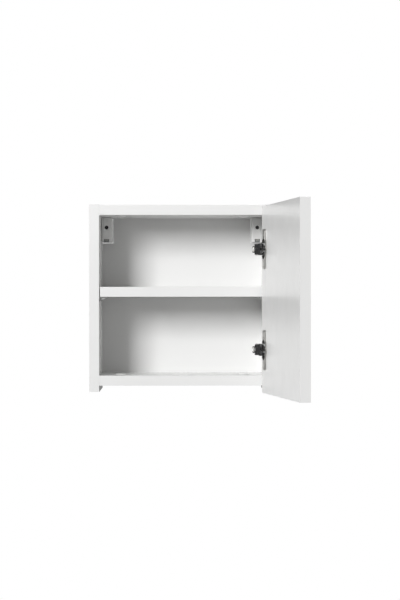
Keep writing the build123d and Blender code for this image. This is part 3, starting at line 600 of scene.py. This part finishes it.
def cup_wings(z):
    """The flange's two wings: pressed with round edges, and dished round each screw."""
    half_x, middle = (WING[1] - WING[0]) / 2, sum(WING) / 2
    levels = ((0, 0), (1.6 * MM, 0), (2.0 * MM, 0.15 * MM), (WING_THICKNESS, 0.5 * MM))
    plate = rounded_plate(half_x, WING_HALF, WING_ROUNDING, levels, on_door(middle, z))
    bore = ((CUP_INSIDE, -3 * MM), (CUP_INSIDE, 4 * MM))
    cutters = [turned(bore, on_door(CUP_DISTANCE, z), CUP_COUNT)]
    for side in SIDES:
        cutters.append(turned(CUP_SCREW_SEAT, on_door(middle, z + side * CUP_SCREW_RISE), 36))
    return carved(plate, *cutters)


for name, height in HINGES.items():
    cup = gathered([cup_shell(height), cup_wings(height)])
    piece(f"{name}_cup", cup, "door", "nickel_steel", f"{name}_hinge_cup", softness=0.12 * MM)


# ---- hangers ----
INNER = 133.0 * MM                      # a side panel's inner face
HANGER_HEIGHTS = (242.2 * MM, 282.5 * MM)
HANGER_FRONT, HANGER_REAR = -50.0 * MM, -11.0 * MM
HANGER_WIDTH = 18.0 * MM
HANGER_SEAM = 0.5 * MM                  # the joint that shows along the side panel
HANGER_WALL = 1.6 * MM
REAR_WALL_TOP = 245.0 * MM
HANGER_SCREW_LINE = 8.4 * MM
HANGER_HOLE_Z = 266.6 * MM
POCKET_TOP = 247.5 * MM                 # the opening for the depth screw, open below
POCKET_HALF = 4.2 * MM
HANGER_CORNER = 1.6 * MM
HANGER_SLOT_ZS = (250.0 * MM, 256.0 * MM, 262.0 * MM)
HANGER_SLOT_HEIGHT = 2 * MM
HANGER_SLOT_YS = (HANGER_FRONT + 8 * MM, HANGER_REAR - 10 * MM)
SCREW_HOLE = in_mm(((3.1, -4), (3.1, -0.5), (3.6, 0.0), (3.8, 1)))
COLLAR = (4.6 * MM, 0.5 * MM, 0.35 * MM)        # round the screw hole: radius, half width, height
COLLAR_LINE = ((-1, -0.5), (-1, 0.6), (-0.4, 1), (0.4, 1), (1, 0.6), (1, -0.5))
PEG_Y = -27.0 * MM
PEG_ZS = (252.0 * MM, 274.0 * MM)


def to_side(side, inward, y, z):
    """A point at a distance inward from a side panel's inner face."""
    return Vector((side * (INNER - inward), y, z))


def side_box(side, inward, ys, zs):
    """A box given by its distances inward from a side panel, its Y and its Z."""
    xs = sorted(side * (INNER - reach) for reach in inward)
    return box((xs[0], ys[0], zs[0]), (xs[1], ys[1], zs[1]))


def collar(place, count=40):
    """The low round ridge about a screw hole."""
    middle_radius, half_width, height = COLLAR
    data = bmesh.new()
    rows = []
    turns = [2 * pi * i / count for i in range(count)]
    for share, rise in COLLAR_LINE:
        radius = middle_radius + share * half_width
        points = [Vector((radius * cos(turn), radius * sin(turn), rise * height)) for turn in turns]
        rows.append([data.verts.new(place @ point) for point in points])
    for low, high in zip(rows, rows[1:] + rows[:1]):
        for i in range(count):
            j = (i + 1) % count
            data.faces.new((low[i], low[j], high[j], high[i]))
    return data


def at_screw_hole(side):
    """The placement at a housing's screw hole, with Z towards the room."""
    return aimed(to_side(side, HANGER_SCREW_LINE, HANGER_FRONT, HANGER_HOLE_Z), (0, -1, 0))


def housing_shell(side):
    """The moulded housing: hollow, with its screw hole, its lower opening and slots in its cheek."""
    low, high = HANGER_HEIGHTS
    middle = (HANGER_SEAM + HANGER_WIDTH) / 2
    half_x, half_z = (HANGER_WIDTH - HANGER_SEAM) / 2, (high - low) / 2
    place = aimed(to_side(side, middle, HANGER_REAR, (low + high) / 2), (0, -1, 0))
    depth = HANGER_REAR - HANGER_FRONT
    levels = ((0, 0), (depth - 1.1 * MM, 0), (depth - 0.35 * MM, 0.3 * MM), (depth, 1.0 * MM))
    shell = rounded_plate(half_x, half_z, HANGER_CORNER, levels, place)
    wall = HANGER_WALL
    room = (HANGER_SEAM + wall, HANGER_WIDTH - wall)
    cutters = [side_box(side, room, (HANGER_FRONT + wall, HANGER_REAR + wall), (low - wall, high - wall))]
    cutters.append(turned(SCREW_HOLE, at_screw_hole(side), 40))
    pocket = (HANGER_SCREW_LINE - POCKET_HALF, HANGER_SCREW_LINE + POCKET_HALF)
    through = (HANGER_FRONT - wall, HANGER_FRONT + 1.5 * wall)
    cutters.append(side_box(side, pocket, through, (low - wall, POCKET_TOP)))
    slot_depth = (HANGER_WIDTH - 2 * wall, HANGER_WIDTH + wall)
    for z in HANGER_SLOT_ZS:
        cutters.append(side_box(side, slot_depth, HANGER_SLOT_YS, (z, z + HANGER_SLOT_HEIGHT)))
    return carved(shell, *cutters)


def rear_wall(side):
    """The low wall that closes the foot of the housing's open rear."""
    inward = (HANGER_SEAM + HANGER_WALL / 2, HANGER_WIDTH - HANGER_WALL / 2)
    heights = (HANGER_HEIGHTS[0] + 0.1 * MM, REAR_WALL_TOP)
    return side_box(side, inward, (HANGER_REAR - HANGER_WALL, HANGER_REAR - 0.1 * MM), heights)


def peg(side, z):
    """A barbed peg that presses into the side panel."""
    place = aimed(to_side(side, HANGER_SEAM, PEG_Y, z), (side, 0, 0))
    profile = [(4.6 * MM, -0.6 * MM), (4.6 * MM, 1.0 * MM)]
    for barb in range(5):
        start = (1.0 + 1.8 * barb) * MM
        profile += [(4.9 * MM, start + 0.2 * MM), (4.2 * MM, start + 1.7 * MM)]
    profile += [(3.6 * MM, 11.2 * MM)]
    return turned(profile, place, 28)


def housing(side):
    """The whole housing, with the pegs that hold it to the side panel."""
    meshes = [housing_shell(side), collar(at_screw_hole(side)), rear_wall(side)]
    return gathered(meshes + [peg(side, z) for z in PEG_ZS])


for name, side in (("left", -1), ("right", 1)):
    piece(f"{name}_hanger_shell", housing(side), "carcass", "white_plastic", f"{name}_hanger_housing")


# ---- joinery: bolts, dowels and cover caps ----
CAM_LINE = 33.0 * MM                    # inward from the side panels
CAM_Y = -97.0 * MM
DOWEL_YS = (-130.0 * MM, -36.0 * MM)
BOARD_MIDDLES = (18.0 * MM, 291.0 * MM)
CAP_FACES = ((26.0 * MM, 1), (283.0 * MM, -1))  # height, and the way each cap faces
FLUTES = 14
FLUTE_DEPTH = 0.05                      # as a share of the dowel's radius
DOWEL = in_mm(((3.2, 0), (3.9, 0.8), (4.0, 1.6), (4.0, 8), (4.0, 15), (4.0, 22), (4.0, 28.4), (3.9, 29.2),
               (3.2, 30)))
COVER_CAP = in_mm(((2.0, -1.5), (2.7, -1.3), (2.7, 0.02), (7.9, 0.02), (8.2, 0.15), (8.25, 0.45),
                   (8.05, 0.75), (7.5, 0.98), (6.2, 1.1), (4.0, 1.18), (1.2, 1.2), (0.9, 1.12), (0.3, 1.08)))
IN_SIDE = 10 * MM                       # how deep bolts and dowels sit in a side panel


def cam_bolt(side, z):
    """A connecting bolt: coarse thread in the side panel, shank, neck, and a ball head in the cam."""
    place = aimed(to_side(side, -IN_SIDE, CAM_Y, z), (-side, 0, 0))
    profile = [(1.6 * MM, 0)]
    for thread in range(6):
        start = (0.3 + 1.5 * thread) * MM
        profile += [(2.2 * MM, start + 0.3 * MM), (3.0 * MM, start + 0.65 * MM), (2.2 * MM, start + 1.1 * MM)]
    profile += [(2.6 * MM, 9.8 * MM), (2.7 * MM, 10.2 * MM), (2.7 * MM, 35.2 * MM), (1.8 * MM, 35.7 * MM)]
    profile += [(1.8 * MM, 41.4 * MM), (2.6 * MM, 41.7 * MM), (3.0 * MM, 42.5 * MM), (3.0 * MM, 43.5 * MM)]
    profile += [(2.5 * MM, 44.2 * MM), (1.4 * MM, 44.5 * MM)]
    return turned(profile, place, 32)


def dowel(side, y, z):
    """A fluted beech dowel with chamfered ends."""
    place = aimed(to_side(side, -IN_SIDE, y, z), (-side, 0, 0))
    return turned(DOWEL, place, FLUTES * 4, lambda turn: 1 - FLUTE_DEPTH * max(0.0, cos(FLUTES * turn)) ** 2)


def cover_cap(side, face, way):
    """A push-in cap: low dome with a turned-down rim, and a small centre mark."""
    return turned(COVER_CAP, aimed(to_side(side, CAM_LINE, CAM_Y, face), (0, 0, way)), 56)


cam_bolts = [cam_bolt(side, z) for side in SIDES for z in BOARD_MIDDLES]
dowels = [dowel(side, y, z) for side in SIDES for y in DOWEL_YS for z in BOARD_MIDDLES]
caps = [cover_cap(side, *face) for side in SIDES for face in CAP_FACES]
piece("cam_bolts_threaded", gathered(cam_bolts), "carcass", "steel_fixings", "cam_bolts")
piece("dowels_fluted", gathered(dowels), "carcass", "beech", "wooden_dowels")
piece("cover_caps_domed", gathered(caps), "carcass", "white_plastic", "cam_cover_caps")


# ---- studio ----
AMBIENT = 0.105                         # the surround's light, as a share of the white that is seen
FLOOR_HEIGHT = -1.2
FLOOR_FADE = (0.8, 2.9)                 # from the middle: where it starts to fade out, and where it is gone
LIGHT_TARGET = Vector((0, -0.1, 0.15))
LIGHTS = (      # name, azimuth, elevation, distance, size, power
    ("key", -27.5, 17, 4.2, (1.3, 1.35), 149),
    ("rear", 150, 48, 3.5, (2.2, 2.2), 110),
    ("right", 76, 14, 3.2, (1.2, 1.6), 32),
    ("low", -150, -12, 3.0, (1.4, 1.0), 5),
)
CAMERA_PLACE = (-0.0148, -3.1598, 0.15105)
CAMERA_ANGLES = (radians(90 - 0.080), radians(0.056), radians(-0.8205))
CAMERA_LENS = 112.9                     # mm, on a sensor 36 mm wide


def surround():
    """A surround that the camera sees as plain white, but that lights the cabinet only faintly."""
    world = bpy.data.worlds.new("surround")
    bpy.context.scene.world = world
    world.use_nodes = True
    tree = world.node_tree
    ambient = tree.nodes["Background"]
    ambient.inputs["Color"].default_value = (1, 1, 1, 1)
    ambient.inputs["Strength"].default_value = AMBIENT
    backdrop = tree.nodes.new("ShaderNodeBackground")
    backdrop.inputs["Color"].default_value = (1, 1, 1, 1)
    backdrop.inputs["Strength"].default_value = 1.0
    path = tree.nodes.new("ShaderNodeLightPath")
    mix = tree.nodes.new("ShaderNodeMixShader")
    tree.links.new(path.outputs["Is Camera Ray"], mix.inputs["Fac"])
    tree.links.new(ambient.outputs[0], mix.inputs[1])
    tree.links.new(backdrop.outputs[0], mix.inputs[2])
    tree.links.new(mix.outputs[0], tree.nodes["World Output"].inputs["Surface"])


def soft_light(name, azimuth, elevation, distance, size, power):
    """A rectangular light that faces the cabinet; azimuth is to the right of the room side's normal."""
    data = bpy.data.lights.new(name, "AREA")
    data.shape = "RECTANGLE"
    data.size, data.size_y = size
    data.energy = power
    lamp = bpy.data.objects.new(name, data)
    bpy.context.scene.collection.objects.link(lamp)
    turn, rise = radians(azimuth), radians(elevation)
    towards = Vector((sin(turn) * cos(rise), -cos(turn) * cos(rise), sin(rise)))
    lamp.location = LIGHT_TARGET + towards * distance
    lamp.rotation_euler = towards.to_track_quat("Z", "Y").to_euler()


def floor():
    """A pale floor well below the cabinet, which fades out towards its rim."""
    mesh = bpy.data.meshes.new("floor")
    data = bmesh.new()
    bmesh.ops.create_circle(data, cap_ends=True, segments=96, radius=FLOOR_FADE[1] + 0.1)
    data.to_mesh(mesh)
    obj = bpy.data.objects.new("floor", mesh)
    obj.location.z = FLOOR_HEIGHT
    bpy.context.scene.collection.objects.link(obj)
    shader = Shader("floor", (0.9, 0.9, 0.9), 0.6)
    shader.color(shader.blend(shader.noise(3.0), (0.89, 0.89, 0.885), (0.91, 0.91, 0.905)))
    from_middle = shader.add("ShaderNodeVectorMath", {0: shader.place}, operation="LENGTH").outputs["Value"]
    clear = shader.add("ShaderNodeBsdfTransparent").outputs[0]
    faded = shader.add("ShaderNodeMixShader", {0: shader.spread(from_middle, 0, 1, *FLOOR_FADE)})
    shader.links.new(shader.surface.outputs[0], faded.inputs[1])
    shader.links.new(clear, faded.inputs[2])
    shader.links.new(faded.outputs[0], shader.nodes["Material Output"].inputs["Surface"])
    mesh.materials.append(shader.material)


def camera():
    """The camera in the room, nearly square to the cabinet's front."""
    data = bpy.data.cameras.new("camera")
    data.lens = CAMERA_LENS
    data.sensor_width = 36.0
    obj = bpy.data.objects.new("camera", data)
    bpy.context.scene.collection.objects.link(obj)
    obj.location = CAMERA_PLACE
    obj.rotation_euler = CAMERA_ANGLES
    bpy.context.scene.camera = obj


surround()
for light in LIGHTS:
    soft_light(*light)
floor()
camera()
bpy.context.scene.view_settings.view_transform = "Standard"
